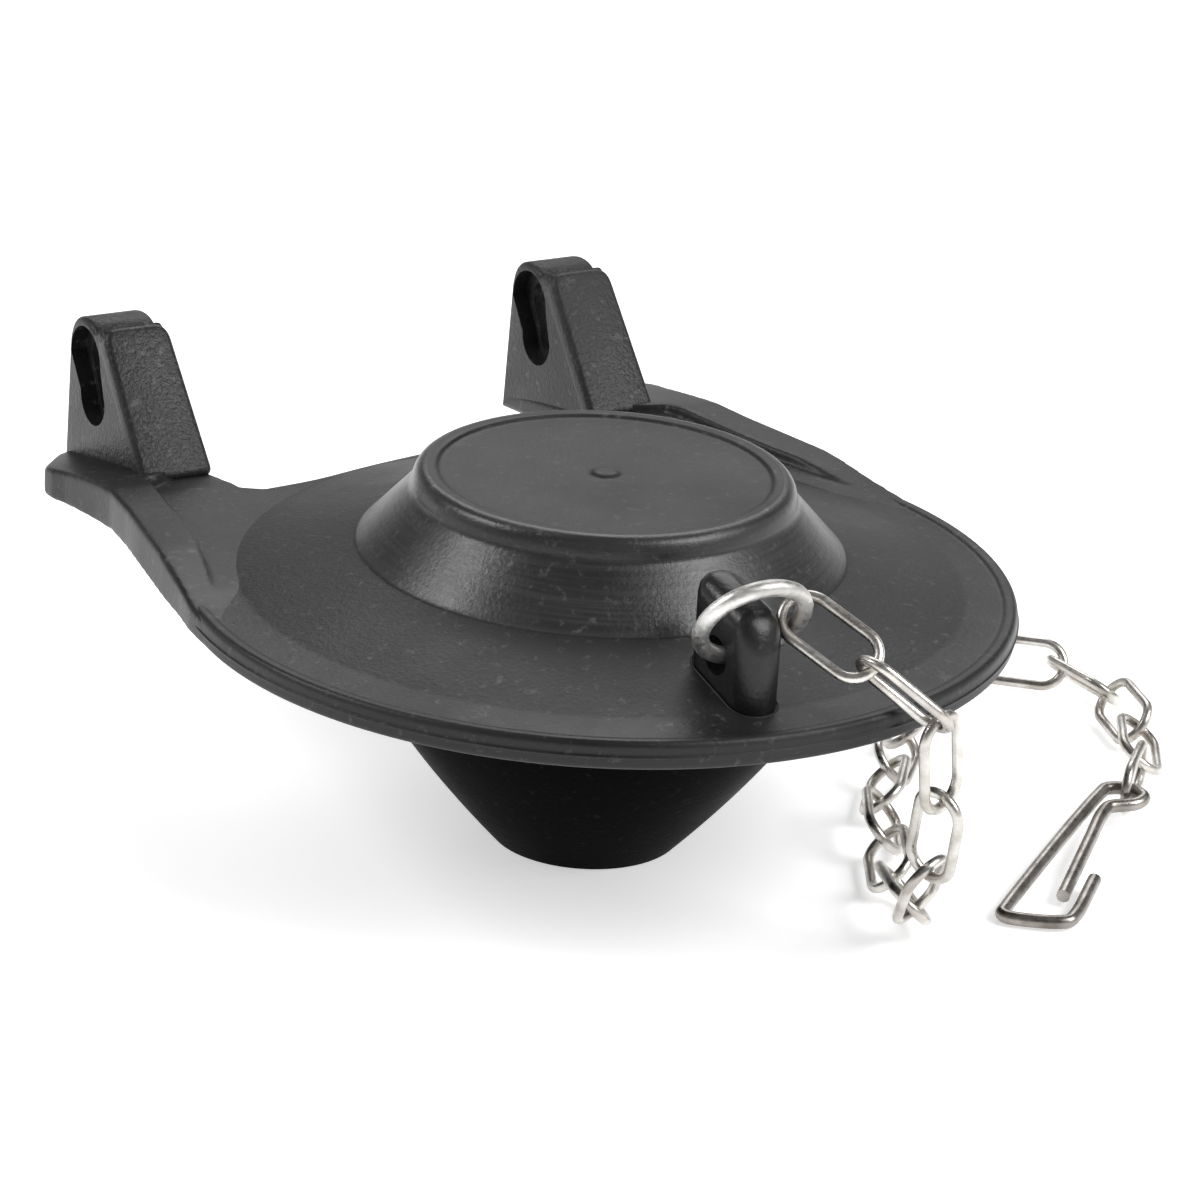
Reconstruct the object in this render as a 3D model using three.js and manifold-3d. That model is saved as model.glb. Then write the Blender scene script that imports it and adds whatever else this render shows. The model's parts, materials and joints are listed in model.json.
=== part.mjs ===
// A rubber valve flapper with its ring, chain and clip, in millimetres, +Z up.
// The flapper is laid out about the axis of its disc, with z = 0 on the sealing face under the disc
// and +Y towards the hinge ears. The last lines move everything so that the origin is the middle of
// the hinge line through the two ears.
import * as THREE from 'three';
import { mergeVertices } from 'three/addons/utils/BufferGeometryUtils.js';
import Module from 'manifold-3d';

const wasm = await Module();
wasm.setup();

// Disc and rim
const discRadius = 41.5;
const discSteps = 60;
const rimHeight = 2.8;
const ridgeWidth = 0.9;
const partingHeight = 1.4;
const partingProud = 0.15;
const rimBandWidth = 5.2;
const rimBandHeight = 3.0;
const rimGrooveHeight = 2.55;

// Crown on top of the disc
const crownBaseRadius = 24.4;
const crownBaseHeight = 5.9;
const crownTopRadius = 17.6;
const crownTopHeight = 13.8;
const crownRidgeWidth = 0.9;
const crownRidgeHeight = 0.35;
const shoulderDrop = 2.2;
const gateRadius = 1.6;
const gateHeight = 0.35;

// Bell under the disc
const bellRadius = 25.3;
const bellDepth = 24.9;
const mouthRadius = 9.6;
const bellWall = 2.2;
const crownWall = 2.6;

// Arms, web and feet
const webHeight = 3.1;
const armRaise = 1.2;
const footDrop = 2.4;
const gapHalfWidth = 22.7;
const webRear = 37.2;
const armBevel = 0.5;

// Hinge ears
const earSpacing = 53.6;
const earWidth = 7.2;
const earFront = 40.4;
const earBack = 60.9;
const earTop = 16;
const panelWidth = 8.2;
const panelLength = 16.4;
const panelThickness = 1.7;
const panelSlope = 49.5;
const pegHeight = 10;
const pegLine = 55.4;
const pocketDepth = 1.7;
const pocketTopRadius = 3.7;
const pocketBottomRadius = 3;
const slotInset = 2;

// Lug for the chain's ring
const lugOffset = -4.1;
const lugWidth = 4.7;
const lugDome = 1.9;
const lugFall = 1.3;
const lugInset = 4.7;
const lugLength = 10.6;
const lugTop = 14.2;
const lugHoleHeight = 7.3;
const lugHoleDiameter = 3.8;

// Ring
const ringRadius = 5.1;
const ringWire = 1.65;
const ringLean = 32;
const ringYaw = -6;
const ringSink = 0.3;

// Chain
const linkLength = 11.2;
const linkWidth = 5.8;
const linkWire = 1;
const linkPlay = 0.3;

// Clip
const clipWire = 1.4;
const clipLength = 31.4;
const clipWidth = 6.4;
const eyeWidth = 4.6;
const clipHeading = 34;

const rubber = new THREE.MeshStandardMaterial({ color: 0x2c2c2e, roughness: 0.55, metalness: 0 });
const ringSteel = new THREE.MeshStandardMaterial({ color: 0xc9c8c4, roughness: 0.45, metalness: 0.9 });
const chainSteel = new THREE.MeshStandardMaterial({ color: 0xb9b6b0, roughness: 0.25, metalness: 1 });
const clipSteel = new THREE.MeshStandardMaterial({ color: 0x8d8985, roughness: 0.3, metalness: 1 });

const degrees = THREE.MathUtils.degToRad;

// A closed geometry as a solid that can be joined and cut.
function solid(geometry) {
  const bare = geometry.clone();
  bare.deleteAttribute('normal');
  bare.deleteAttribute('uv');
  const merged = mergeVertices(bare, 1e-4);
  return new wasm.Manifold(new wasm.Mesh({
    numProp: 3,
    vertProperties: new Float32Array(merged.attributes.position.array),
    triVerts: new Uint32Array(merged.index.array),
  }));
}

function geometryOf(manifold) {
  const { vertProperties, triVerts } = manifold.getMesh();
  const geometry = new THREE.BufferGeometry();
  geometry.setAttribute('position', new THREE.BufferAttribute(new Float32Array(vertProperties), 3));
  geometry.setIndex(new THREE.BufferAttribute(new Uint32Array(triVerts), 1));
  geometry.computeVertexNormals();
  return geometry;
}

// Height of the disc's top face at a distance from its axis.
const bandRadius = discRadius - rimBandWidth;
const coneSlope = (crownBaseHeight - rimBandHeight) / (bandRadius - crownBaseRadius);
const discTopAt = (radius) => crownBaseHeight - coneSlope * (radius - crownBaseRadius);

// A profile drawn from the axis round to the axis, turned about it.
function turned(profile) {
  const points = profile.getPoints(5);
  points[0].x = 0;
  points[points.length - 1].x = 0;
  return solid(new THREE.LatheGeometry(points.reverse(), discSteps).rotateX(Math.PI / 2));
}

// The turned form: crown, disc and rolled rim above, sealing face and bell below.
function discAndBell() {
  const faceHeight = crownTopHeight - crownRidgeHeight;
  const ridgeInner = crownTopRadius - crownRidgeWidth;
  const profile = new THREE.Path();
  profile.moveTo(0, faceHeight + gateHeight);
  profile.lineTo(gateRadius * 0.7, faceHeight + gateHeight);
  profile.lineTo(gateRadius, faceHeight);
  profile.lineTo(ridgeInner - crownRidgeHeight, faceHeight);
  profile.lineTo(ridgeInner, crownTopHeight);
  profile.lineTo(crownTopRadius, crownTopHeight);
  const shoulderRadius = crownTopRadius + 1.3;
  profile.quadraticCurveTo(
    shoulderRadius, crownTopHeight - 0.1, shoulderRadius + 0.2, crownTopHeight - shoulderDrop,
  );
  profile.quadraticCurveTo(
    crownBaseRadius - 3.1, crownBaseHeight + 2.7, crownBaseRadius, crownBaseHeight,
  );
  profile.lineTo(bandRadius, rimBandHeight);
  profile.lineTo(discRadius - ridgeWidth - 0.6, rimGrooveHeight);
  profile.lineTo(discRadius - ridgeWidth, rimHeight);
  profile.lineTo(discRadius - 0.35, rimHeight);
  profile.lineTo(discRadius, rimHeight - 0.4);
  profile.lineTo(discRadius, partingHeight + partingProud);
  profile.lineTo(discRadius + partingProud, partingHeight);
  profile.lineTo(discRadius, partingHeight - partingProud);
  profile.lineTo(discRadius, 0.35);
  profile.lineTo(discRadius - 0.35, 0);
  profile.lineTo(bellRadius + 1.2, 0);
  profile.lineTo(bellRadius, -1);
  profile.bezierCurveTo(
    bellRadius - 0.9, -0.28 * bellDepth, mouthRadius + 6.9, -0.7 * bellDepth, mouthRadius, -bellDepth,
  );
  profile.lineTo(0, -bellDepth);
  return turned(profile);
}

// The air chamber inside the bell and the crown, open at the bell's mouth.
function chamber() {
  const profile = new THREE.Path();
  profile.moveTo(0, crownTopHeight - crownRidgeHeight - crownWall);
  profile.lineTo(crownTopRadius - crownWall * 0.6, crownTopHeight - crownRidgeHeight - crownWall);
  profile.lineTo(crownBaseRadius - crownWall, crownBaseHeight - crownWall);
  profile.lineTo(bellRadius - bellWall, -1);
  profile.bezierCurveTo(
    bellRadius - 0.9 - bellWall, -0.28 * bellDepth,
    mouthRadius + 6.9 - bellWall, -0.7 * bellDepth,
    mouthRadius - bellWall, -bellDepth,
  );
  profile.lineTo(mouthRadius - bellWall, -bellDepth - 1);
  profile.lineTo(0, -bellDepth - 1);
  return turned(profile);
}

// A closed outline from plain points.
function outline(points) {
  return new THREE.Shape(points.map(([x, y]) => new THREE.Vector2(x, y)));
}

// How the web's top and underside fall away towards the feet.
const fallFrom = 36;
const fallTo = earBack;
const fallAt = (y) => THREE.MathUtils.clamp((y - fallFrom) / (fallTo - fallFrom), 0, 1);
const undersideAt = (y) => -footDrop * fallAt(y);
const riseAt = (y) => THREE.MathUtils.smoothstep(y, 3, 12);
const webTopAt = (y) => rimGrooveHeight + (webHeight - rimGrooveHeight) * riseAt(y) - 3.9 * fallAt(y) ** 1.3;
const armTopAt = (y) => webTopAt(y) + armRaise * THREE.MathUtils.smoothstep(y, 8, 20) * (1 - 0.8 * fallAt(y));

// The right arm's outer edge, from the rim to the foot's corner and round to the ear's back.
const earInner = earSpacing / 2 - earWidth / 2;
const earOuter = earSpacing / 2 + earWidth / 2;
const armEdge = [
  [discRadius - 0.2, 4], [discRadius - 1.2, 12], [discRadius - 2.7, 21.5], [discRadius - 4.4, 31],
  [earOuter + 6, 40], [earOuter + 6.2, 47], [earOuter + 6.6, 50.4], [earOuter + 5.9, 52.6],
  [earOuter + 3.2, 56.6], [earOuter, earBack - 0.6], [earInner, earBack - 0.6],
];

// A flat plate over an outline whose top and underside follow two heights along Y.
function shapedPlate(points, topAt, bottomAt) {
  const depth = 10;
  const geometry = new THREE.ExtrudeGeometry(outline(points), {
    depth: depth - 2 * armBevel, bevelThickness: armBevel, bevelSize: armBevel, bevelOffset: -armBevel,
    bevelSegments: 2, steps: 1,
  });
  const position = geometry.attributes.position;
  for (let i = 0; i < position.count; i += 1) {
    const y = position.getY(i);
    const z = position.getZ(i) + armBevel;
    const fromTop = depth - z;
    const top = topAt(y);
    const bottom = bottomAt(y);
    position.setZ(i, z < depth / 2 ? bottom + z : top - fromTop);
  }
  return solid(geometry);
}

function mirrored(points) {
  return points.map(([x, y]) => [-x, y]);
}

// The plate that joins the two arms behind the crown, with its rear edge open to the overflow pipe.
function webPlate() {
  const rearEdge = [
    [gapHalfWidth, 40], [gapHalfWidth - 0.6, webRear - 2], [gapHalfWidth - 2.6, webRear - 3.3],
    [16, webRear - 3], [12, webRear - 2.5], [6, webRear - 1.2],
  ];
  return shapedPlate(
    [...armEdge, ...rearEdge, [0, webRear], ...mirrored(rearEdge).reverse(), ...mirrored(armEdge).reverse()],
    webTopAt,
    undersideAt,
  );
}

// The raised arm beside the disc, from the rim to the foot, on one side.
function raisedArm(side) {
  const inner = [
    [earInner + 0.5, earBack - 1.5], [earInner + 0.5, earFront + 3], [earOuter + 0.6, earFront - 2],
    [discRadius - 9.3, 31], [discRadius - 7.7, 22], [discRadius - 5.5, 14], [discRadius - 2.5, 5],
  ];
  const points = [...armEdge.slice(0, -1), ...inner].map(([x, y]) => [side * x, y]);
  return shapedPlate(points, armTopAt, (y) => undersideAt(y) + 0.4);
}

// The space between the arms where the overflow pipe stands, cut out of the disc's rear.
function pipeGap() {
  const edge = [
    [gapHalfWidth, 62], [gapHalfWidth, 40], [gapHalfWidth - 0.6, webRear - 2],
    [gapHalfWidth - 2.6, webRear - 3.3], [16, webRear - 3], [12, webRear - 2.5], [6, webRear - 1.2],
  ];
  const shape = outline([...edge, [0, webRear], ...mirrored(edge).reverse()]);
  return solid(new THREE.ExtrudeGeometry(shape, { depth: 8, bevelEnabled: false }).translate(0, 0, -4));
}

// A side outline in Y and Z, drawn across X with rounded edges, centred on x.
function acrossX(shape, width, bevel, x) {
  const geometry = new THREE.ExtrudeGeometry(shape, {
    depth: width - 2 * bevel, bevelEnabled: bevel > 0, bevelThickness: bevel, bevelSize: bevel,
    bevelOffset: -bevel, bevelSegments: 3, curveSegments: 6,
  });
  geometry.translate(0, 0, bevel - width / 2);
  geometry.rotateY(Math.PI / 2).rotateX(Math.PI / 2);
  return solid(geometry.translate(x, 0, 0));
}

// The tapered eye that the hinge peg sits in, drawn inward by an inset.
function pegEye(inset) {
  const topRadius = pocketTopRadius - inset;
  const bottomRadius = pocketBottomRadius - inset * 0.6;
  const topY = pegLine + 0.2;
  const topZ = pegHeight + 1.2;
  const bottomY = pegLine - 1.7;
  const bottomZ = pegHeight - 2.3;
  const shape = new THREE.Shape();
  shape.absarc(bottomY, bottomZ, bottomRadius, Math.PI, 2 * Math.PI, false);
  shape.absarc(topY, topZ, topRadius, 0, Math.PI, false);
  shape.closePath();
  return shape;
}

// One hinge ear: a block with a sloped front plate, pockets on both sides and a slot for the peg.
function ear(side) {
  const x = side * earSpacing / 2;
  const block = new THREE.Shape();
  block.moveTo(earFront + 0.6, undersideAt(earFront) + 0.6);
  block.lineTo(earFront + 0.7, 2.8);
  block.lineTo(pegLine - 4.6, earTop - 1);
  block.lineTo(pegLine - 3.5, earTop - 0.2);
  block.lineTo(pegLine - 1.9, earTop - 0.8);
  block.quadraticCurveTo(pegLine - 0.4, earTop + 0.3, pegLine + 1.9, earTop - 0.3);
  block.quadraticCurveTo(pegLine + 4.4, earTop - 0.8, earBack - 1.1, earTop - 3.6);
  block.lineTo(earBack, undersideAt(earBack));
  let body = acrossX(block, earWidth, 0.5, x);

  const panel = new THREE.Shape();
  const halfTop = panelWidth / 2 - 0.35;
  panel.moveTo(-panelWidth / 2, 0);
  panel.lineTo(panelWidth / 2, 0);
  panel.lineTo(halfTop, panelLength - 0.9);
  panel.lineTo(halfTop - 0.9, panelLength);
  panel.lineTo(-halfTop + 0.9, panelLength);
  panel.lineTo(-halfTop, panelLength - 0.9);
  const bevel = 0.45;
  const plate = new THREE.ExtrudeGeometry(panel, {
    depth: panelThickness - 2 * bevel, bevelThickness: bevel, bevelSize: bevel, bevelOffset: -bevel,
    bevelSegments: 2,
  });
  plate.translate(0, 0, bevel - panelThickness).rotateX(degrees(panelSlope)).translate(x, earFront, 3.3);
  body = body.add(solid(plate));

  const pocket = pegEye(0);
  for (const face of [-1, 1]) {
    const depth = 2 * pocketDepth;
    body = body.subtract(acrossX(pocket, depth, 0, x + face * earWidth / 2));
  }
  return body.subtract(acrossX(pegEye(slotInset), earWidth + 2, 0, x));
}

// The lug near the front of the disc, with a hole across it for the ring.
const lugFront = -(discRadius - lugInset);
const lugRear = lugFront + lugLength;
const lugHoleLine = (lugFront + lugRear) / 2;

function lug() {
  const base = discTopAt(-lugFront) - 1 - lugDome;
  const end = lugWidth / 2;
  const plan = new THREE.Shape();
  plan.absarc(0, lugRear - end, end, 0, Math.PI, false);
  plan.absarc(0, lugFront + end, end, Math.PI, 2 * Math.PI, false);
  const geometry = new THREE.ExtrudeGeometry(plan, {
    depth: lugTop - base - 2 * lugDome, bevelThickness: lugDome, bevelSize: lugDome, bevelOffset: -lugDome,
    bevelSegments: 4, curveSegments: 8,
  });
  geometry.translate(lugOffset, 0, base + lugDome);
  const position = geometry.attributes.position;
  for (let i = 0; i < position.count; i += 1) {
    if (position.getZ(i) > lugHoleHeight) {
      position.setZ(i, position.getZ(i) - lugFall * (lugRear - position.getY(i)) / lugLength);
    }
  }
  const hole = new THREE.CylinderGeometry(lugHoleDiameter / 2, lugHoleDiameter / 2, lugWidth + 2, 20);
  hole.rotateZ(Math.PI / 2).translate(lugOffset, lugHoleLine, lugHoleHeight);
  return { body: solid(geometry), hole: solid(hole) };
}

function flapper() {
  const { body: lugBody, hole } = lug();
  let body = discAndBell().subtract(pipeGap()).add(webPlate()).add(lugBody).subtract(hole);
  body = body.subtract(chamber());
  for (const side of [-1, 1]) {
    body = body.add(raisedArm(side)).add(ear(side));
  }
  return new THREE.Mesh(geometryOf(body), rubber);
}

// The ring stands in the lug's hole, leans forward over the lug and is turned a little to one side.
const ringTurn = new THREE.Matrix4().makeRotationZ(degrees(ringYaw))
  .multiply(new THREE.Matrix4().makeRotationX(degrees(90 + ringLean)));
const ringFoot = new THREE.Vector3(0, -ringRadius, 0).applyMatrix4(ringTurn);
const ringCentre = new THREE.Vector3(lugOffset, lugHoleLine, lugHoleHeight - ringSink).sub(ringFoot);
const ringSide = new THREE.Vector3(ringRadius, 0, 0).applyMatrix4(ringTurn).add(ringCentre);

function ring() {
  const mesh = new THREE.Mesh(new THREE.TorusGeometry(ringRadius, ringWire / 2, 8, 30), ringSteel);
  mesh.applyMatrix4(ringTurn);
  mesh.position.copy(ringCentre);
  return mesh;
}

// The way the chain runs: over the rim, down to the floor, under the disc, out at the far side and
// forward to the clip. Heights on the floor are given from the floor up.
const floor = -bellDepth;
const rest = floor + linkWidth / 2 + 0.05;
const route = [
  [4.1, -discRadius + 0.5, 8.3], [9.2, -discRadius - 3.1, 4.8], [11.6, -discRadius - 2.5, -4],
  [12.9, -discRadius + 0.1, -12.8], [14, -discRadius + 2.7, rest + 2.4],
  [17.2, -32.4, rest + 0.2], [20, -24.4, rest], [25.2, -17, rest], [29.4, -9.6, rest], [35.4, -3.4, rest],
  [41.6, 3.2, rest], [46.6, 10.6, rest], [53.4, 16, rest], [61.6, 15.8, rest], [66.8, 9.6, rest],
  [67, 2, rest], [65, -5.4, rest], [61, -12.4, rest], [54.6, -19, rest],
  [46, -25.5, rest],
].map((place) => new THREE.Vector3(...place));
const firstView = [-0.5, -0.8, 0.35];
const linkCount = 18;
const firstRoll = -16;
const linkRoll = 91;
const pitch = linkLength - 2 * linkWire - linkPlay;

// The places where each link hangs in the next, one pitch apart along the route.
function chainPlaces(start) {
  const steps = new THREE.CatmullRomCurve3([start, ...route], false, 'centripetal').getPoints(4000);
  const places = [start];
  for (const step of steps) {
    if (places.length <= linkCount && step.distanceTo(places[places.length - 1]) >= pitch) {
      places.push(step);
    }
  }
  return places;
}

// One link: a round wire bent to an oval, lying along X with its open face along Z.
function linkGeometry() {
  const bend = (linkWidth - linkWire) / 2;
  const straight = (linkLength - linkWidth) / 2;
  const geometry = new THREE.TorusGeometry(bend, linkWire / 2, 6, 18);
  const position = geometry.attributes.position;
  const perRow = 19;
  for (let i = 0; i < position.count; i += 1) {
    const step = i % perRow;
    const angle = 20 * step;
    position.setX(i, position.getX(i) + (angle < 90 || angle > 270 ? straight : -straight));
  }
  return geometry;
}

// The links from place to place, each rolled about its length from the one before. The last one
// stands upright, so that the clip can swing up about it.
function chain() {
  const geometry = linkGeometry();
  const group = new THREE.Group();
  const away = route[0].clone().sub(ringSide).normalize();
  const places = chainPlaces(ringSide.clone().addScaledVector(away, -ringWire / 2 - linkPlay));
  const face = new THREE.Vector3(...firstView);
  const along = new THREE.Vector3();
  for (let i = 0; i < linkCount; i += 1) {
    along.subVectors(places[i + 1], places[i]).normalize();
    face.addScaledVector(along, -face.dot(along)).normalize();
    face.applyAxisAngle(along, degrees(i === 0 ? firstRoll : linkRoll));
    if (i === linkCount - 1) {
      face.set(along.y, -along.x, 0).normalize();
    }
    const mesh = new THREE.Mesh(geometry, chainSteel);
    mesh.name = `link_${String(i + 1).padStart(2, '0')}`;
    mesh.applyMatrix4(new THREE.Matrix4().makeBasis(along, face.clone().cross(along), face));
    mesh.position.copy(places[i]).add(places[i + 1]).multiplyScalar(0.5);
    group.add(mesh);
  }
  const eye = places[linkCount].clone().addScaledVector(along, -clipWire / 2 - 1.2 * linkPlay);
  return { group, eye };
}

// The clip: one spring wire from its hook round the broad end, along the long leg, through the eye
// and back along the spring leg, whose end rests inside the hook. It is drawn along -X from the eye.
function clip(eye) {
  const back = clipLength;
  const clipTilt = Math.asin((eye.z - floor - clipWire / 2) / back);
  const points = [
    [-back + 11.5, clipWidth - 0.6], [-back + 3.6, clipWidth + 0.2], [-back + 2.2, clipWidth - 0.1],
    [-back + 0.3, 0.9], [-back + 0.7, 0.1], [-back + 1.7, 0],
    [-2.6, 0], [-0.9, 0.3], [0, eyeWidth / 2], [-0.9, eyeWidth - 0.3], [-2.8, eyeWidth - 0.2],
    [-back + 7.2, clipWidth - 2.1],
  ].map(([x, y]) => new THREE.Vector3(x, eyeWidth / 2 - y, 0));
  const path = new THREE.CatmullRomCurve3(points, false, 'centripetal');
  const section = new THREE.Shape().absellipse(0, 0, clipWire / 2, clipWire / 2, 0, 2 * Math.PI);
  const geometry = new THREE.ExtrudeGeometry(section, { steps: 56, curveSegments: 4, extrudePath: path });
  const mesh = new THREE.Mesh(geometry, clipSteel);
  mesh.rotation.set(0, -clipTilt, degrees(clipHeading), 'ZYX');
  mesh.position.copy(eye);
  return mesh;
}

const body = flapper();
body.name = 'flapper';
const ringMesh = ring();
ringMesh.name = 'ring';
const { group: links, eye } = chain();
const clipMesh = clip(eye);
clipMesh.name = 'clip';

const part = new THREE.Group();
part.add(body, ringMesh, links, clipMesh);
part.position.set(0, -pegLine, -pegHeight);

const model = new THREE.Group();
model.add(part);
model.updateMatrixWorld(true);

export default model;
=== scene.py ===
import json
import math

import bmesh
import bpy
import numpy as np
from mathutils import Matrix, Vector
from mathutils.geometry import interpolate_bezier


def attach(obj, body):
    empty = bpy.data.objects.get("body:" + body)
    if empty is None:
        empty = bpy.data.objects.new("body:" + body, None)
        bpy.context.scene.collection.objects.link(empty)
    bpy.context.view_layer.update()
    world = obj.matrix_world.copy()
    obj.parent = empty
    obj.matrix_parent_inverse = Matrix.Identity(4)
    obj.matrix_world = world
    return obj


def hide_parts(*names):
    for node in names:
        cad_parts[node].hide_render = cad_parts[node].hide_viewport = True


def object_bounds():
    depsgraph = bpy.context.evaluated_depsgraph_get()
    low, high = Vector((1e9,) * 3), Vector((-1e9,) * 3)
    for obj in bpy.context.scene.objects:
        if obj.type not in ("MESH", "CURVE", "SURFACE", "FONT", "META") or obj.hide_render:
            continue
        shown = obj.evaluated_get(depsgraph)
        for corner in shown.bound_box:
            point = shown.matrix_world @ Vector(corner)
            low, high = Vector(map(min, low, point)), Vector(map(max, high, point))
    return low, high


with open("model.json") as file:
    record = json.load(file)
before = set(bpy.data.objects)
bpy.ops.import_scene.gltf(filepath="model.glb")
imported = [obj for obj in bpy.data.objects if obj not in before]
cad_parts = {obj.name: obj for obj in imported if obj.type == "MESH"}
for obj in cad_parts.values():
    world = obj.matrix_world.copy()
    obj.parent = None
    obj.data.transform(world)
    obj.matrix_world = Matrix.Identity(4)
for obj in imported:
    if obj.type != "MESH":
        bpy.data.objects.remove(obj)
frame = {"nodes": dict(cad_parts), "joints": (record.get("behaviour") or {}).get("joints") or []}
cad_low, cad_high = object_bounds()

# The view. A long lens looks down on the flapper's front left, with the ears at the back. All that
# follows is laid out in millimetres from the middle of the disc's underside, which stands at
# disc_place as seen from the hinge line, the frame's origin.
mm = 0.001
to_mm = 1000
disc_place = Vector((0.0, -55.4, -10.0))
azimuth = math.radians(-31.81)
elevation = math.radians(21.693)
roll = math.radians(3.409)
distance = 443.818
aside = 0.208
above = 0.087
back = Vector((
    math.sin(azimuth) * math.cos(elevation),
    -math.cos(azimuth) * math.cos(elevation),
    math.sin(elevation),
))
level_right = Vector((math.cos(azimuth), math.sin(azimuth), 0.0))
level_up = back.cross(level_right)
right = math.cos(roll) * level_right + math.sin(roll) * level_up
up = -math.sin(roll) * level_right + math.cos(roll) * level_up
place = (back * distance + right * aside + up * above + disc_place) * mm


def put(name, data):
    """A new object of that name in the scene, made of the data."""
    thing = bpy.data.objects.new(name, data)
    bpy.context.scene.collection.objects.link(thing)
    return thing


lens = bpy.data.cameras.new("view")
lens.lens = 134.1
lens.sensor_width = 36.0
lens.clip_start = 0.05
lens.clip_end = 20.0
camera = put("view", lens)
camera.matrix_world = Matrix((
    (right.x, up.x, back.x, place.x),
    (right.y, up.y, back.y, place.y),
    (right.z, up.z, back.z, place.z),
    (0.0, 0.0, 0.0, 1.0),
))
bpy.context.scene.camera = camera
bpy.context.scene.view_settings.view_transform = "Standard"


# The studio. A white floor just under the bell's mouth and a white skirting all round; above that the
# room falls to a dim grey, so that the black rubber stays black and the wire keeps its dark streaks.
def maths(tree, operation, first, second):
    """One step of arithmetic among the nodes, on a socket and on another socket or a number."""
    node = tree.nodes.new("ShaderNodeMath")
    node.operation = operation
    tree.links.new(first, node.inputs[0])
    if isinstance(second, float):
        node.inputs[1].default_value = second
    else:
        tree.links.new(second, node.inputs[1])
    return node.outputs[0]


def ranged(tree, value, before, after, way="LINEAR"):
    """The value carried over from one range of numbers to another."""
    node = tree.nodes.new("ShaderNodeMapRange")
    node.interpolation_type = way
    node.inputs["From Min"].default_value = before[0]
    node.inputs["From Max"].default_value = before[1]
    node.inputs["To Min"].default_value = after[0]
    node.inputs["To Max"].default_value = after[1]
    tree.links.new(value, node.inputs["Value"])
    return node.outputs["Result"]


floor_half = 6
floor_drop = 0.0001
floor_glow = 0.5
floor_corners = [(x * floor_half, y * floor_half, 0) for x, y in ((-1, -1), (1, -1), (1, 1), (-1, 1))]
floor_mesh = bpy.data.meshes.new("floor")
floor_mesh.from_pydata(floor_corners, [], [(0, 1, 2, 3)])
floor = put("floor", floor_mesh)
floor.location = (0.0, 0.0, cad_low[2] - floor_drop)
floor_finish = bpy.data.materials.new("floor")
floor_finish.use_nodes = True
floor_tree = floor_finish.node_tree
floor_shader = floor_tree.nodes["Principled BSDF"]
floor_shader.inputs["Base Color"].default_value = (0.86, 0.86, 0.86, 1)
floor_shader.inputs["Roughness"].default_value = 0.9
floor_shader.inputs["Specular IOR Level"].default_value = 0.0
floor_shader.inputs["Emission Color"].default_value = (1, 1, 1, 1)
floor_rays = floor_tree.nodes.new("ShaderNodeLightPath").outputs
floor_seen = maths(floor_tree, "MAXIMUM", floor_rays["Is Camera Ray"], floor_rays["Is Glossy Ray"])
floor_seen = maths(floor_tree, "MAXIMUM", floor_seen, floor_rays["Is Transmission Ray"])
floor_light = maths(floor_tree, "MULTIPLY", floor_seen, floor_glow)
floor_tree.links.new(floor_light, floor_shader.inputs["Emission Strength"])
floor_mesh.materials.append(floor_finish)

room_even_light = 0.42
room = bpy.data.worlds.new("room")
bpy.context.scene.world = room
room.use_nodes = True
room_tree = room.node_tree
room_way = room_tree.nodes.new("ShaderNodeTexCoord")
room_height = room_tree.nodes.new("ShaderNodeSeparateXYZ")
room_tree.links.new(room_way.outputs["Generated"], room_height.inputs["Vector"])
room_wall = ranged(room_tree, room_height.outputs["Z"], (0.02, 0.3), (0.9, 0.16), "SMOOTHSTEP")
room_rays = room_tree.nodes.new("ShaderNodeLightPath").outputs
room_shine = maths(room_tree, "MAXIMUM", room_rays["Is Glossy Ray"], room_rays["Is Transmission Ray"])
room_level = room_tree.nodes.new("ShaderNodeMix")
room_level.inputs["A"].default_value = room_even_light
room_tree.links.new(room_shine, room_level.inputs["Factor"])
room_tree.links.new(room_wall, room_level.inputs["B"])
room_white = maths(room_tree, "MAXIMUM", room_level.outputs["Result"], room_rays["Is Camera Ray"])
room_background = room_tree.nodes["Background"]
room_background.inputs["Color"].default_value = (1, 1, 1, 1)
room_tree.links.new(room_white, room_background.inputs["Strength"])

lamp_target = Vector((0, -0.055, -0.02))
for name, spot, size, power in (
    ("lamp_back", (0.44, 0.62, 0.7), 0.6, 3.2),
    ("lamp_left", (-0.76, 0.4, 0.72), 0.35, 5.0),
    ("lamp_front", (0.5, -0.68, 0.72), 0.6, 9.5),
):
    lamp = bpy.data.lights.new(name, "AREA")
    lamp.size = size
    lamp.energy = power
    lamp_object = put(name, lamp)
    lamp_object.location = spot
    lamp_object.rotation_euler = (lamp_target - Vector(spot)).to_track_quat("-Z", "Y").to_euler()


# The disc with its crown and bell. It is one turned form of black moulded rubber: a dished crown with
# a raised lip, a shallow cone, a rolled rim with the mould's parting line, and a thin hollow bell.
def noise(tree, where, scale, detail, rough=0.5, warp=0.0):
    """Cloudy noise in the given coordinates."""
    node = tree.nodes.new("ShaderNodeTexNoise")
    node.inputs["Scale"].default_value = scale
    node.inputs["Detail"].default_value = detail
    node.inputs["Roughness"].default_value = rough
    node.inputs["Distortion"].default_value = warp
    tree.links.new(where, node.inputs["Vector"])
    return node.outputs["Fac"]


def two_tones(tree, value, dark_end, light_end):
    """A ramp between two tones, each given as where it starts and its colour."""
    node = tree.nodes.new("ShaderNodeValToRGB")
    for element, (position, colour) in zip(node.color_ramp.elements, (dark_end, light_end)):
        element.position = position
        element.color = colour
    tree.links.new(value, node.inputs["Fac"])
    return node.outputs["Color"]


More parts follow.
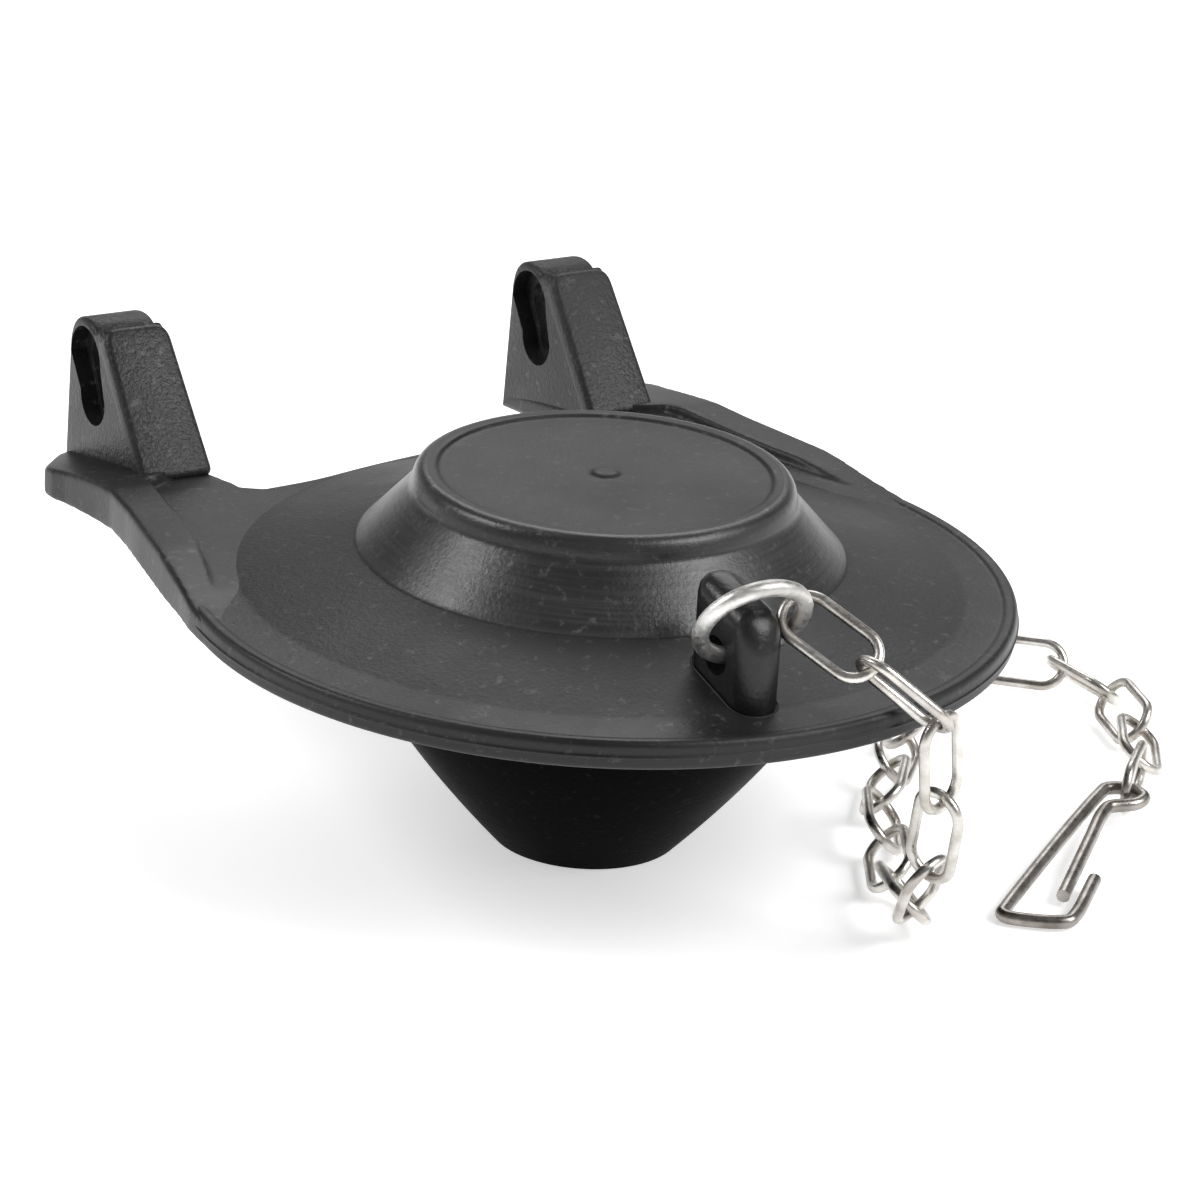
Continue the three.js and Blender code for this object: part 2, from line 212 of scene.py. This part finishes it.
def laid_over(tree, amount, under, colour):
    """One plain colour laid over what is under it, as thick as the amount says."""
    node = tree.nodes.new("ShaderNodeMix")
    node.data_type = "RGBA"
    tree.links.new(amount, node.inputs["Factor"])
    tree.links.new(under, node.inputs["A"])
    node.inputs["B"].default_value = colour
    return node.outputs["Result"]


def bump(tree, height, strength, depth, under=None):
    """Relief of that depth in metres, on top of the relief under it."""
    node = tree.nodes.new("ShaderNodeBump")
    node.inputs["Strength"].default_value = strength
    node.inputs["Distance"].default_value = depth
    tree.links.new(height, node.inputs["Height"])
    if under is not None:
        tree.links.new(under, node.inputs["Normal"])
    return node.outputs["Normal"]


def turning_ways(tree, where):
    """Coordinates that run out from the disc's axis, very slowly round it, and up."""
    slowness = 0.0007
    shift = tree.nodes.new("ShaderNodeVectorMath")
    shift.operation = "SUBTRACT"
    shift.inputs[1].default_value = disc_place * mm
    tree.links.new(where, shift.inputs[0])
    split = tree.nodes.new("ShaderNodeSeparateXYZ")
    tree.links.new(shift.outputs["Vector"], split.inputs["Vector"])
    flat = tree.nodes.new("ShaderNodeCombineXYZ")
    tree.links.new(split.outputs["X"], flat.inputs["X"])
    tree.links.new(split.outputs["Y"], flat.inputs["Y"])
    reach = tree.nodes.new("ShaderNodeVectorMath")
    reach.operation = "LENGTH"
    tree.links.new(flat.outputs["Vector"], reach.inputs[0])
    angle = maths(tree, "ARCTAN2", split.outputs["Y"], split.outputs["X"])
    ways = tree.nodes.new("ShaderNodeCombineXYZ")
    tree.links.new(reach.outputs["Value"], ways.inputs["X"])
    tree.links.new(maths(tree, "MULTIPLY", angle, slowness), ways.inputs["Y"])
    tree.links.new(split.outputs["Z"], ways.inputs["Z"])
    return ways.outputs["Vector"]


def black_rubber(name, turned_marks_and_painted_sheen=False, depth=0.8, sheen=0.34, leather=0.0, polish=0.0):
    """Black moulded rubber, clouded, dusty and finely pitted. The depth multiplies its colours, the
    sheen is its specular level, the polish comes off its roughness, and the leather is the strength of
    a pebbled grain."""
    finish = bpy.data.materials.new(name)
    finish.use_nodes = True
    tree = finish.node_tree
    shader = tree.nodes["Principled BSDF"]
    where = tree.nodes.new("ShaderNodeTexCoord").outputs["Object"]

    def shade(red, green, blue):
        return (red * depth, green * depth, blue * depth, 1)

    cloud = noise(tree, where, 55.0, 5.0, 0.6)
    speck = noise(tree, where, 900.0, 3.0, 0.6)
    grain = noise(tree, where, 2600.0, 2.0, 0.6)
    pores = tree.nodes.new("ShaderNodeTexVoronoi")
    pores.inputs["Scale"].default_value = 1500.0
    tree.links.new(where, pores.inputs["Vector"])

    dark = shade(0.0095, 0.0095, 0.0105)
    light = shade(0.021, 0.021, 0.023)
    tint = two_tones(tree, cloud, (0.35, dark), (0.72, light))
    dust = two_tones(tree, speck, (0.6, (0, 0, 0, 1)), (0.74, (0.6, 0.6, 0.6, 1)))
    colour = laid_over(tree, dust, tint, shade(0.1, 0.1, 0.1))
    rough = ranged(tree, cloud, (0.3, 0.75), (0.36 - polish, 0.56 - polish))
    relief = bump(tree, grain, 0.5, 0.00006)
    relief = bump(tree, pores.outputs["Distance"], 0.35, 0.00003, relief)
    if leather:
        pebbles = noise(tree, where, 2300.0, 2.0, warp=0.6)
        relief = bump(tree, pebbles, leather, 0.00015, relief)
    if turned_marks_and_painted_sheen:
        # Turned marks: fine relief round the axis, with lighter streaks in the colour along it that are a
        # painted sheen.
        marks = noise(tree, turning_ways(tree, where), 2400.0, 4.0)
        painted_sheen_streak = ranged(tree, marks, (0.4, 0.68), (0.0, 0.25))
        colour = laid_over(tree, painted_sheen_streak, colour, shade(0.075, 0.075, 0.078))
        relief = bump(tree, marks, 0.5, 0.000035, relief)
    shader.inputs["Specular IOR Level"].default_value = sheen
    tree.links.new(colour, shader.inputs["Base Color"])
    tree.links.new(rough, shader.inputs["Roughness"])
    tree.links.new(relief, shader.inputs["Normal"])
    return finish


turned_rubber = black_rubber("turned_rubber")
# The crown's side is the same rubber in a lighter colour with lighter streaks round it, both a painted
# sheen; its smoother, glossier finish is real.
crown_painted_sheen_rubber = black_rubber("crown_painted_sheen_rubber", turned_marks_and_painted_sheen=True, depth=1.0, sheen=0.5, polish=0.1)
# The bell is the same rubber in a much darker colour and almost without gloss, a painted shade.
bell_painted_shade_rubber = black_rubber("bell_painted_shade_rubber", depth=0.2, sheen=0.01)


def curve_on(line, first_pull, second_pull, end, steps):
    """The line carried on from its last point to the end, in one curve drawn by two pulls."""
    bend = [Vector((*point, 0)) for point in (line[-1], first_pull, second_pull, end)]
    return line + [(p.x, p.y) for p in interpolate_bezier(*bend, steps)[1:]]


def softened(points, radius, steps=4):
    """The same line with each corner rounded by up to the radius."""
    most = 0.45
    soft = [points[0]]
    for before, here, after in zip(points, points[1:], points[2:]):
        b, h, a = Vector(before), Vector(here), Vector(after)
        reach_b = min(radius, (b - h).length * most)
        reach_a = min(radius, (a - h).length * most)
        start = h + (b - h).normalized() * reach_b
        end = h + (a - h).normalized() * reach_a
        for i in range(steps + 1):
            t = i / steps
            soft.append(tuple(start * (1 - t) ** 2 + h * 2 * t * (1 - t) + end * t * t))
    soft.append(points[-1])
    return soft


crown_top = [(0.0, 13.8), (1.1, 13.8), (1.6, 13.45), (16.35, 13.45), (16.7, 13.8), (17.6, 13.8)]
rim = [
    (24.1, 6.1), (24.35, 5.92), (24.75, 5.81), (36.3, 3.0), (39.9, 2.55), (40.35, 2.85), (41.15, 2.85),
    (41.5, 2.4), (41.5, 1.52), (41.68, 1.42), (41.68, 1.34), (41.5, 1.22), (41.5, 0.35), (41.15, 0.0),
    (26.5, 0.0), (25.3, -1.0),
]
bell_mouth = [(9.6, -24.9), (9.3, -24.9), (7.6, -24.9), (7.4, -24.9)]
crown_inside = [(23.1, -1.0), (21.8, 3.3), (16.0, 10.85), (0.0, 10.85)]
disc_line = softened(crown_top, 0.5)
disc_line = curve_on(disc_line, (18.6, 13.75), (18.95, 13.0), (19.1, 11.6), 12)
disc_line = curve_on(disc_line, (20.8, 9.7), (22.8, 7.6), rim[0], 16)
disc_line += softened(rim, 0.3)[1:]
disc_line = curve_on(disc_line, (24.4, -7.0), (16.5, -17.4), bell_mouth[0], 32)
disc_line += softened(bell_mouth, 0.3)[1:]
disc_line = curve_on(disc_line, (14.3, -17.4), (22.2, -7.0), crown_inside[0], 32)
disc_line += softened(crown_inside, 0.8)[1:]

around = 256
disc_points = []
for radius, height in disc_line[1:-1]:
    for i in range(around):
        turn = 2 * math.pi * i / around
        disc_points.append((radius * math.cos(turn), radius * math.sin(turn), height))
rows = len(disc_line) - 2
disc_faces = []
for row in range(rows - 1):
    for i in range(around):
        here = row * around + i
        beside = row * around + (i + 1) % around
        disc_faces.append((here, beside, beside + around, here + around))
top_centre = len(disc_points)
inner_centre = top_centre + 1
last_row = (rows - 1) * around
disc_points += [(0.0, 0.0, disc_line[0][1]), (0.0, 0.0, disc_line[-1][1])]
disc_faces += [(top_centre, (i + 1) % around, i) for i in range(around)]
disc_faces += [(inner_centre, last_row + i, last_row + (i + 1) % around) for i in range(around)]
disc_mesh = bpy.data.meshes.new("disc_and_bell")
disc_mesh.from_pydata([tuple((Vector(p) + disc_place) * mm) for p in disc_points], [], disc_faces)
disc_shape = bmesh.new()
disc_shape.from_mesh(disc_mesh)
bmesh.ops.recalc_face_normals(disc_shape, faces=disc_shape.faces)
disc_shape.to_mesh(disc_mesh)
disc_shape.free()
disc = put("disc_and_bell", disc_mesh)


def plate_of(name, outline, low, high, edge=0.0):
    """A flat closed outline as a plate from one height to another, its edges rounded, in millimetres."""
    weld = 0.0005
    drawn = bpy.data.curves.new(name, "CURVE")
    drawn.dimensions = "2D"
    drawn.fill_mode = "BOTH"
    line = drawn.splines.new("POLY")
    line.points.add(len(outline) - 1)
    for point, (x, y) in zip(line.points, outline):
        point.co = (x, y, 0, 1)
    line.use_cyclic_u = True
    drawn.extrude = (high - low) / 2 - edge
    drawn.bevel_depth = edge
    drawn.offset = -edge
    drawn.bevel_resolution = 3
    curve_object = bpy.data.objects.new(name, drawn)
    mesh = bpy.data.meshes.new_from_object(curve_object)
    bpy.data.objects.remove(curve_object)
    mesh.transform(Matrix.Translation((0, 0, (high + low) / 2)))
    shape = bmesh.new()
    shape.from_mesh(mesh)
    bmesh.ops.remove_doubles(shape, verts=shape.verts, dist=weld)
    bmesh.ops.recalc_face_normals(shape, faces=shape.faces)
    shape.to_mesh(mesh)
    shape.free()
    return mesh


def settle(thing):
    """Makes what the modifiers give the object's own mesh."""
    bpy.context.view_layer.update()
    done = bpy.data.meshes.new_from_object(thing.evaluated_get(bpy.context.evaluated_depsgraph_get()))
    thing.modifiers.clear()
    thing.data = done


into_frame = Matrix.Translation(disc_place * mm) @ Matrix.Scale(mm, 4)


def cut(solid, cutter_mesh, way="DIFFERENCE"):
    """Cuts the millimetre mesh out of the solid for good, or joins it on."""
    cutter_mesh.transform(into_frame)
    cutter = put("cutter", cutter_mesh)
    tool = solid.modifiers.new("cut", "BOOLEAN")
    tool.operation = way
    tool.solver = "EXACT"
    tool.object = cutter
    settle(solid)
    bpy.data.objects.remove(cutter)


def mirrored(outline):
    """The outline on the other side of the middle, run through backwards."""
    return [(-x, y) for x, y in reversed(outline)]


def shaded(mesh, crease=None):
    """Shades the mesh smooth, except at edges that bend by more than the crease, in degrees."""
    mesh.polygons.foreach_set("use_smooth", [True] * len(mesh.polygons))
    if crease:
        mesh.set_sharp_from_angle(angle=math.radians(crease))


gap_half = 22.7
gap_rear = 62
web_rear = [(gap_half, 40), (22.1, 35.2), (20.1, 33.9), (16, 34.2), (12, 34.7), (6, 36), (0, 37.2)]
web_rear += mirrored(web_rear[:-1])
cut(disc, plate_of("pipe_gap", [(gap_half, gap_rear)] + web_rear + [(-gap_half, gap_rear)], -4, 8))
shaded(disc.data, 40)
disc_rubbers = (turned_rubber, bell_painted_shade_rubber, crown_painted_sheen_rubber)
for rubber in disc_rubbers:
    disc.data.materials.append(rubber)
bell_from = -0.6
crown_lip, crown_edge, crown_foot = 17.7, 24.2, 5.5
# The bell's faces take the darker rubber, a painted shade, and the crown's side the lighter rubber, a
# painted sheen.
for face in disc.data.polygons:
    height = face.center.z * to_mm - disc_place.z
    reach = math.hypot(face.center.x, face.center.y - disc_place.y * mm) * to_mm
    if height < bell_from:
        face.material_index = disc_rubbers.index(bell_painted_shade_rubber)
    elif crown_lip < reach < crown_edge and height > crown_foot:
        face.material_index = disc_rubbers.index(crown_painted_sheen_rubber)
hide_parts("flapper")
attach(disc, "flapper")


# The arms and the web between them. They are moulded in one with the disc, in the same black rubber;
# each arm stands a little higher than the web, and widens to a foot under its ear.
moulded_rubber = black_rubber("moulded_rubber")
arm_edge = [
    (41.3, 4), (41.05, 8), (40.3, 12), (39.6, 17), (38.8, 21.5), (38.0, 26), (37.1, 31), (36.5, 36),
    (36.4, 40), (36.45, 43.5), (36.6, 47), (36.95, 49.4), (36.9, 51.2), (36.3, 52.6), (33.6, 56.6),
    (32.0, 58.9), (30.4, 60.3), (23.2, 60.3),
]
inner_edge = [
    (23.7, 59.4), (23.7, 43.4), (31.0, 38.4), (31.6, 35), (32.2, 31), (33.0, 26), (33.8, 22), (34.9, 18),
    (36.0, 14), (37.4, 9.5), (39.0, 5),
]
web_height = 2.55
web_rise = 0.55
arm_rise = 1.2
top_drop = 3.9
under_drop = 2.4
drop_start, drop_run = 36, 24.9
blank = 10
blank_edge = 0.45
arm_lift = 0.4


def fall(y):
    """How far the arms have sunk at y, from none at the disc to all at their ends."""
    return min(max((y - drop_start) / drop_run, 0.0), 1.0)


def smooth(y, low, high):
    """A gentle step from 0 to 1 between two places."""
    t = min(max((y - low) / (high - low), 0.0), 1.0)
    return t * t * (3 - 2 * t)


def web_top(y):
    return web_height + web_rise * smooth(y, 3, 12) - top_drop * fall(y) ** 1.3


def arm_top(y):
    return web_top(y) + arm_rise * smooth(y, 8, 20) * (1 - 0.8 * fall(y))


def dense(outline, step=1.5):
    """The closed outline with points no further apart than the step."""
    out = []
    for (ax, ay), (bx, by) in zip(outline, outline[1:] + outline[:1]):
        count = max(1, math.ceil(math.hypot(bx - ax, by - ay) / step))
        out += [(ax + (bx - ax) * i / count, ay + (by - ay) * i / count) for i in range(count)]
    return out


def bent_plate(name, outline, top, lift):
    """A thick blank whose upper half follows the top's heights and whose lower half sinks with the arms."""
    mesh = plate_of(name, dense(outline), 0, blank, blank_edge)
    for vertex in mesh.vertices:
        y, z = vertex.co.y, vertex.co.z
        vertex.co.z = z - under_drop * fall(y) + lift if z < blank / 2 else top(y) - (blank - z)
    return mesh


arm_pieces = [bent_plate("web", arm_edge + web_rear + mirrored(arm_edge), web_top, 0)]
for side in (1, -1):
    arm_line = [(side * x, y) for x, y in arm_edge[:-1] + inner_edge]
    arm_pieces.append(bent_plate("arm", arm_line, arm_top, arm_lift))
arm_shape = bmesh.new()
for mesh in arm_pieces:
    arm_shape.from_mesh(mesh)
arm_mesh = bpy.data.meshes.new("arms_and_web")
arm_shape.to_mesh(arm_mesh)
arm_shape.free()
arms = put("arms_and_web", arm_mesh)
closed = arms.modifiers.new("closed", "REMESH")
closed.mode = "VOXEL"
closed.voxel_size = 0.3
eased = arms.modifiers.new("eased", "SMOOTH")
eased.factor = 0.5
eased.iterations = 3
settle(arms)

# What lies inside the disc is taken out, all but a margin that stays sunk in it.
hidden_reach, hidden_rear, hidden_from = 33.5, 32.5, -2
inside = bmesh.new()
inside.from_mesh(arms.data)
hidden = [
    v for v in inside.verts
    if math.hypot(v.co.x, v.co.y) < hidden_reach and v.co.y < hidden_rear and v.co.z > hidden_from
]
bmesh.ops.delete(inside, geom=hidden, context="VERTS")
inside.to_mesh(arms.data)
inside.free()
arms.data.transform(into_frame)
shaded(arms.data)
arms.data.materials.append(moulded_rubber)
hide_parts("flapper")
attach(arms, "flapper")


# The hinge ears. Each is a hump of the same rubber behind a plain sloped panel with a leathery grain,
# and has a deep tapered eye on both sides, open through the middle, that snaps over a peg.
# The ears are the same rubber in a lighter colour, a painted light on their panels, with a real pebbled
# grain.
ear_painted_light_rubber = black_rubber("ear_painted_light_rubber", depth=1.05, leather=0.6)
ear_middle = 26.8
ear_half = 3.6
ear_edge = 0.7
pocket_half = 1.8
slot_half = 5
slot_inset = 1.5
panel_place = (40.4, 3.3)
panel_slope = math.radians(49.5)
panel_thickness = 2.2
panel_half, panel_shoulder, panel_top = 4.1, 3.75, 2.9
panel_foot, panel_corner, panel_height = -0.4, 15.7, 16.8


def across(mesh, x):
    """A plate drawn in Y and Z, stood up across X and centred on x."""
    stand = Matrix(((0, 0, 1, 0), (1, 0, 0, 0), (0, 1, 0, 0), (0, 0, 0, 1)))
    mesh.transform(Matrix.Translation((x, 0, 0)) @ stand)
    return mesh


def arc(middle, radius, start, end, count, whole=False):
    """Points round a circle from start to end, which are counted in half turns."""
    turns = np.linspace(start * math.pi, end * math.pi, count, endpoint=not whole)
    return [(middle[0] + radius * math.cos(t), middle[1] + radius * math.sin(t)) for t in turns]


def peg_eye(inset):
    """The eye's outline: a wide round top and a narrower round bottom, drawn in by the inset."""
    bottom = arc((53.7, 7.7), 3.0 - inset * 0.6, 1, 2, 20)
    return bottom + arc((55.6, 11.2), 3.7 - inset, 0, 1, 20)


ear_side = [(41.6, -0.6), (41.7, 2.8), (51.1, 15.1), (52.2, 15.7), (53.6, 15.1)]
ear_side = curve_on(ear_side, (54.5, 15.7), (55.8, 15.9), (57.3, 15.5), 8)
ear_side = curve_on(ear_side, (58.9, 15.15), (59.5, 13.9), (59.8, 12.4), 8)
ear_side += [(60.8, -2.6)]
panel_face = [(0, panel_foot), (panel_half, panel_foot)]
panel_face += [(panel_shoulder, panel_corner), (panel_top, panel_height)]
panel_face += mirrored(panel_face)
for side_name, middle in (("right", ear_middle), ("left", -ear_middle)):
    ear_mesh = across(plate_of("ear", ear_side, -ear_half, ear_half, ear_edge), middle)
    ear_mesh.transform(into_frame)
    ear = put("ear_" + side_name, ear_mesh)
    for face in (1, -1):
        pocket = plate_of("pocket", peg_eye(0), -pocket_half, pocket_half)
        cut(ear, across(pocket, middle + face * ear_half))
    cut(ear, across(plate_of("slot", peg_eye(slot_inset), -slot_half, slot_half), middle))
    panel = plate_of("panel", softened(panel_face, 0.9)[:-1], -panel_thickness, 0, ear_edge)
    panel.transform(Matrix.Translation((middle, *panel_place)) @ Matrix.Rotation(panel_slope, 4, "X"))
    cut(ear, panel, "UNION")
    shaded(ear.data, 35)
    ear.data.materials.append(ear_painted_light_rubber)
    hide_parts("flapper")
    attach(ear, "flapper")


# The lug near the front of the disc. It is part of the same moulding, a thin standing tongue with
# round ends and a domed crest, with a hole across it for the ring.
# The lug is the same rubber in a darker colour, a painted shade.
lug_painted_shade_rubber = black_rubber("lug_painted_shade_rubber", depth=0.5, sheen=0.42, polish=0.12)
lug_middle = -4.1
lug_rear, lug_front, lug_length = -26.2, -36.8, 10.6
lug_end = 2.35
lug_foot, lug_top = 1.0, 14.2
lug_edge = 1.9
lug_slope = 1.3
crest_from, crest_fall = -32.6, 0.16
hole_place = (-31.5, 7.3)
hole_radius = 1.9
lug_plan = arc((0, lug_rear - lug_end), lug_end, 0, 1, 24)
lug_plan += arc((0, lug_front + lug_end), lug_end, 1, 2, 24)
lug_mesh = plate_of("lug", lug_plan, lug_foot, lug_top, lug_edge)
for vertex in lug_mesh.vertices:
    if vertex.co.z > hole_place[1]:
        sunk = lug_slope * (lug_rear - vertex.co.y) / lug_length
        vertex.co.z -= sunk + crest_fall * max(crest_from - vertex.co.y, 0) ** 2
lug_mesh.transform(Matrix.Translation((lug_middle, 0, 0)))
lug_mesh.transform(into_frame)
lug = put("lug", lug_mesh)
lug_hole = arc(hole_place, hole_radius, 0, 2, 48, whole=True)
cut(lug, across(plate_of("hole", lug_hole, -4, 4), lug_middle))
shaded(lug.data, 40)
lug.data.materials.append(lug_painted_shade_rubber)
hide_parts("flapper")
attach(lug, "flapper")


# The fine line of flash round the lug's foot, where the mould's two halves met. It is a thin thread of
# the same rubber that lies on the disc's shallow cone.
def wire_loop(name, points, thickness, closed_loop):
    """A round wire along the points, in metres, as a smooth mesh."""
    drawn = bpy.data.curves.new(name, "CURVE")
    drawn.dimensions = "3D"
    drawn.bevel_depth = thickness / 2
    drawn.bevel_resolution = 5
    drawn.use_fill_caps = not closed_loop
    line = drawn.splines.new("POLY")
    line.points.add(len(points) - 1)
    for point, at in zip(line.points, points):
        point.co = (*at, 1)
    line.use_cyclic_u = closed_loop
    curve_object = bpy.data.objects.new(name, drawn)
    mesh = bpy.data.meshes.new_from_object(curve_object)
    bpy.data.objects.remove(curve_object)
    mesh.name = name
    shaded(mesh, 50)
    return put(name, mesh)


flash_thickness = 0.00022
flash_wide, flash_long = 1.06, 0.15
cone_reach, cone_height, cone_slope = 24.4, 5.93, 0.2437
flash_plan = [
    (x * flash_wide + lug_middle, y + flash_long * math.copysign(1, y - hole_place[0])) for x, y in lug_plan
]
flash_line = []
for x, y in dense(flash_plan, 0.4):
    height = cone_height - cone_slope * (math.hypot(x, y) - cone_reach)
    flash_line.append(tuple((Vector((x, y, height)) + disc_place) * mm))
flash = wire_loop("lug_flash", flash_line, flash_thickness, True)
flash.data.materials.append(moulded_rubber)
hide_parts("flapper")
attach(flash, "flapper")


# The ring through the lug's hole. It is one turn of plated steel wire, dull and scratched white where
# it has worn, and it leans forward with the pull of the chain.
def worn_steel(name, dark, light, rough_low, rough_high, scratch):
    """Steel wire in two patchy tones, between two roughnesses, with scratches of the given strength."""
    finish = bpy.data.materials.new(name)
    finish.use_nodes = True
    tree = finish.node_tree
    shader = tree.nodes["Principled BSDF"]
    shader.inputs["Metallic"].default_value = 1.0
    where = tree.nodes.new("ShaderNodeTexCoord").outputs["Object"]
    stretch = tree.nodes.new("ShaderNodeMapping")
    stretch.inputs["Scale"].default_value = (1.0, 1.0, 3.0)
    stretch.inputs["Rotation"].default_value = (0.5, 0.3, 0.2)
    tree.links.new(where, stretch.inputs["Vector"])
    marks = noise(tree, stretch.outputs["Vector"], 1400.0, 6.0, 0.7)
    patches = noise(tree, where, 260.0, 3.0)
    tint = two_tones(tree, patches, (0.38, (*dark, 1)), (0.62, (*light, 1)))
    rough = ranged(tree, marks, (0.35, 0.65), (rough_low, rough_high))
    tree.links.new(tint, shader.inputs["Base Color"])
    tree.links.new(rough, shader.inputs["Roughness"])
    tree.links.new(bump(tree, marks, scratch, 0.00004), shader.inputs["Normal"])
    return finish


ring_steel = worn_steel("ring_steel", (0.52, 0.51, 0.49), (0.86, 0.85, 0.83), 0.32, 0.6, 0.6)
ring_radius = 5.1
ring_wire = 0.00165
ring_hang = Vector((lug_middle, -31.5, 7.0))
ring_turn = Matrix.Rotation(math.radians(-6), 4, "Z") @ Matrix.Rotation(math.radians(122), 4, "X")
ring_centre = ring_hang - ring_turn @ Vector((0, -ring_radius, 0)) + disc_place
ring_circle = arc((0, 0), ring_radius, 0, 2, 96, whole=True)
ring_line = [(ring_turn @ Vector((x, y, 0)) + ring_centre) * mm for x, y in ring_circle]
ring = wire_loop("wire_ring", ring_line, ring_wire, True)
ring.data.materials.append(ring_steel)
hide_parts("ring")
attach(ring, "flapper")


# The chain. Each link is a bright steel wire bent to a long oval and butted shut; it lies where its
# solid lies, and hangs loose in its neighbours.
chain_steel = worn_steel("chain_steel", (0.44, 0.41, 0.38), (0.72, 0.7, 0.66), 0.24, 0.42, 0.35)
link_wire = 0.00106
link_bend, link_straight = 0.0024, 0.0027
for node in sorted(n for n in frame["nodes"] if n.startswith("link_")):
    corners = np.array([v.co for v in frame["nodes"][node].data.vertices], float)
    middle = corners.mean(0)
    axes = np.linalg.eigh(np.cov((corners - middle).T))[1]
    along = axes[:, 2]
    wide = axes[:, 1]
    for axis in (along, wide):
        reach = (corners - middle) @ axis
        middle = middle + axis * (reach.max() + reach.min()) / 2
    oval = []
    for end, first in ((1, -math.pi / 2), (-1, math.pi / 2)):
        for t in np.linspace(first, first + math.pi, 17):
            length = end * link_straight + link_bend * math.cos(t)
            oval.append(middle + along * length + wide * link_bend * math.sin(t))
    link = wire_loop("chain_" + node, [tuple(p) for p in oval], link_wire, True)
    link.data.materials.append(chain_steel)
    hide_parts(node)
    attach(link, "flapper")


# The clip on the chain's end. One spring-steel wire is bent to a hook, a broad end, a long leg, an eye
# for the last link, and a spring leg whose end rests inside the hook.
clip_steel = worn_steel("clip_steel", (0.2, 0.18, 0.165), (0.4, 0.375, 0.35), 0.24, 0.42, 0.5)
clip_wire = 0.0014
clip_rest = 0.7
clip_reach = 31.4
clip_heading = math.radians(34)
clip_eye = 2.3
clip_corners = [
    (-19.9, 5.8), (-27.8, 6.6), (-29.2, 6.3), (-31.1, 0.9), (-30.7, 0.1), (-29.7, 0), (-2.6, 0), (-0.9, 0.3),
    (0, 2.3), (-0.9, 4.3), (-2.6, 4.1), (-4.6, 1.9), (-6.2, 1.75), (-12, 2.5), (-24.6, 4.2),
]
clip_swing = next(joint for joint in frame["joints"] if joint["name"] == "clip_swing")
clip_place = Vector(clip_swing["pos_m"]) * to_mm
clip_lift = math.asin((clip_place.z - cad_low[2] * to_mm - clip_rest) / clip_reach)
clip_turn = Matrix.Rotation(clip_heading, 4, "Z") @ Matrix.Rotation(-clip_lift, 4, "Y")
clip_points = [clip_turn @ Vector((x, clip_eye - y, 0)) + clip_place for x, y in clip_corners]


def through(points, steps):
    """A smooth line through the points, even where they are unevenly spaced."""
    ends = [points[0] * 2 - points[1]] + points + [points[-1] * 2 - points[-2]]
    out = []
    for p0, p1, p2, p3 in zip(ends, ends[1:], ends[2:], ends[3:]):
        t1 = (p1 - p0).length ** 0.5
        t2 = t1 + (p2 - p1).length ** 0.5
        t3 = t2 + (p3 - p2).length ** 0.5
        for i in range(steps):
            t = t1 + (t2 - t1) * i / steps
            a1 = p0 * ((t1 - t) / t1) + p1 * (t / t1)
            a2 = p1 * ((t2 - t) / (t2 - t1)) + p2 * ((t - t1) / (t2 - t1))
            a3 = p2 * ((t3 - t) / (t3 - t2)) + p3 * ((t - t2) / (t3 - t2))
            b1 = a1 * ((t2 - t) / t2) + a2 * (t / t2)
            b2 = a2 * ((t3 - t) / (t3 - t1)) + a3 * ((t - t1) / (t3 - t1))
            out.append(b1 * ((t2 - t) / (t2 - t1)) + b2 * ((t - t1) / (t2 - t1)))
    return out + [points[-1]]


clip = wire_loop("spring_clip", [tuple(p * mm) for p in through(clip_points, 12)], clip_wire, False)
clip.data.materials.append(clip_steel)
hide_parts("clip")
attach(clip, "clip")
